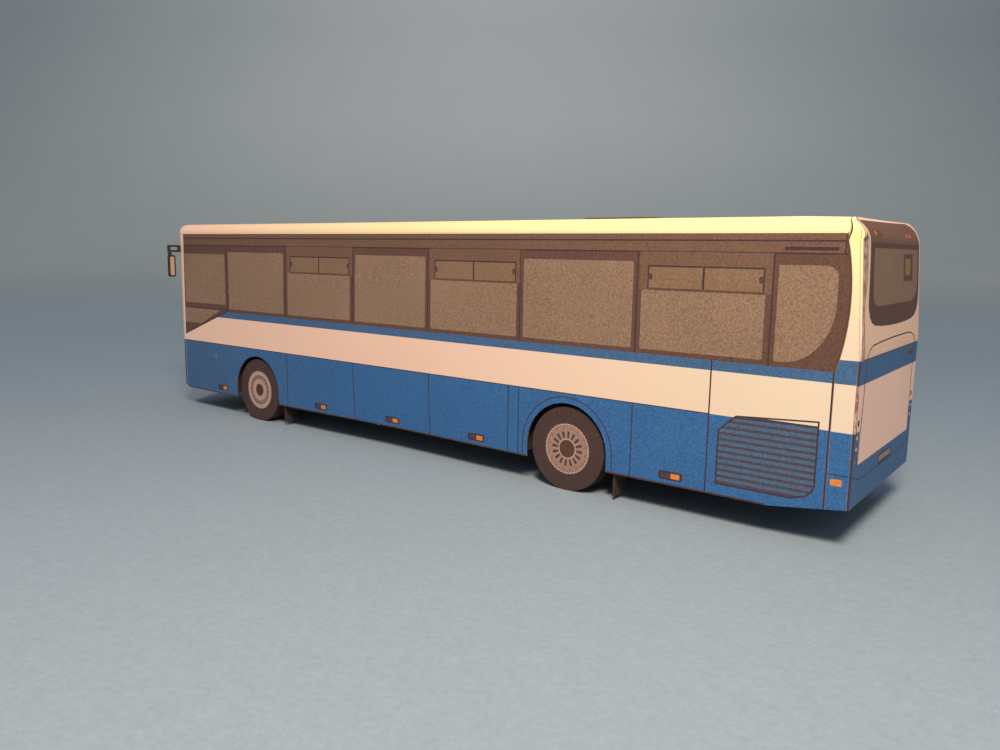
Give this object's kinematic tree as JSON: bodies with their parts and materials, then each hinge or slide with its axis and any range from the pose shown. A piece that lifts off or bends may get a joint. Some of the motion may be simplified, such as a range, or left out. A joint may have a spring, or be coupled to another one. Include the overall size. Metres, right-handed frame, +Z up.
{
  "type": "printed card model of an intercity bus",
  "caption": "Small printed card model of a long single-deck intercity bus, closed body on two axles whose wheels roll; a shelf model to roll or display.",
  "frame": {"origin": "on the ground, in the middle of the model's length and width", "axes": "+X forward, towards the windscreen; +Y to the bus's left side; +Z up"},
  "size_m": [0.138, 0.0338, 0.0384],
  "materials": {
    "printed_card": "matt printed card: blue skirt and belt stripe, white waist band, brown-grey windows",
    "roof_card": "matt off-white card",
    "dark_card": "matt dark card",
    "mirror_card": "matt card, pale glass printed in a dark frame",
    "tyre_card": "laminated card, edges coloured dark brown",
    "wheel_print": "matt printed card: dark tyre ring and pale slotted rim",
    "axle_stick": "bare round wooden stick"
  },
  "bodies": {
    "body": {"side_left": "printed_card", "side_right": "printed_card", "rear_corner_left": "printed_card", "rear_corner_right": "printed_card", "front_panel": "printed_card", "rear_panel": "printed_card", "roof": "roof_card", "roof_hatch": "roof_card", "floor_panel": "dark_card", "front_wheel_well_left": "dark_card", "front_axle_bearer_left": "dark_card", "front_mud_flap_left": "dark_card", "front_wheel_well_right": "dark_card", "front_axle_bearer_right": "dark_card", "front_mud_flap_right": "dark_card", "rear_wheel_well_left": "dark_card", "rear_axle_bearer_left": "dark_card", "rear_mud_flap_left": "dark_card", "rear_wheel_well_right": "dark_card", "rear_axle_bearer_right": "dark_card", "rear_mud_flap_right": "dark_card", "mirror_arm_left": "dark_card", "mirror_left": "mirror_card", "mirror_arm_right": "dark_card", "mirror_right": "mirror_card"},
    "front_wheelset": {"front_axle": "axle_stick", "front_wheel_left": "tyre_card", "front_wheel_face_left": "wheel_print", "front_wheel_right": "tyre_card", "front_wheel_face_right": "wheel_print"},
    "rear_wheelset": {"rear_axle": "axle_stick", "rear_wheel_left": "tyre_card", "rear_wheel_face_left": "wheel_print", "rear_wheel_right": "tyre_card", "rear_wheel_face_right": "wheel_print"}
  },
  "joints": [
    {"name": "front_wheels_roll", "type": "hinge", "parent": "body", "child": "front_wheelset", "pos_m": [0.0404, 0, 0.006], "axis": [0, 1, 0], "continuous": true},
    {"name": "rear_wheels_roll", "type": "hinge", "parent": "body", "child": "rear_wheelset", "pos_m": [-0.031, 0, 0.006], "axis": [0, 1, 0], "continuous": true}
  ]
}
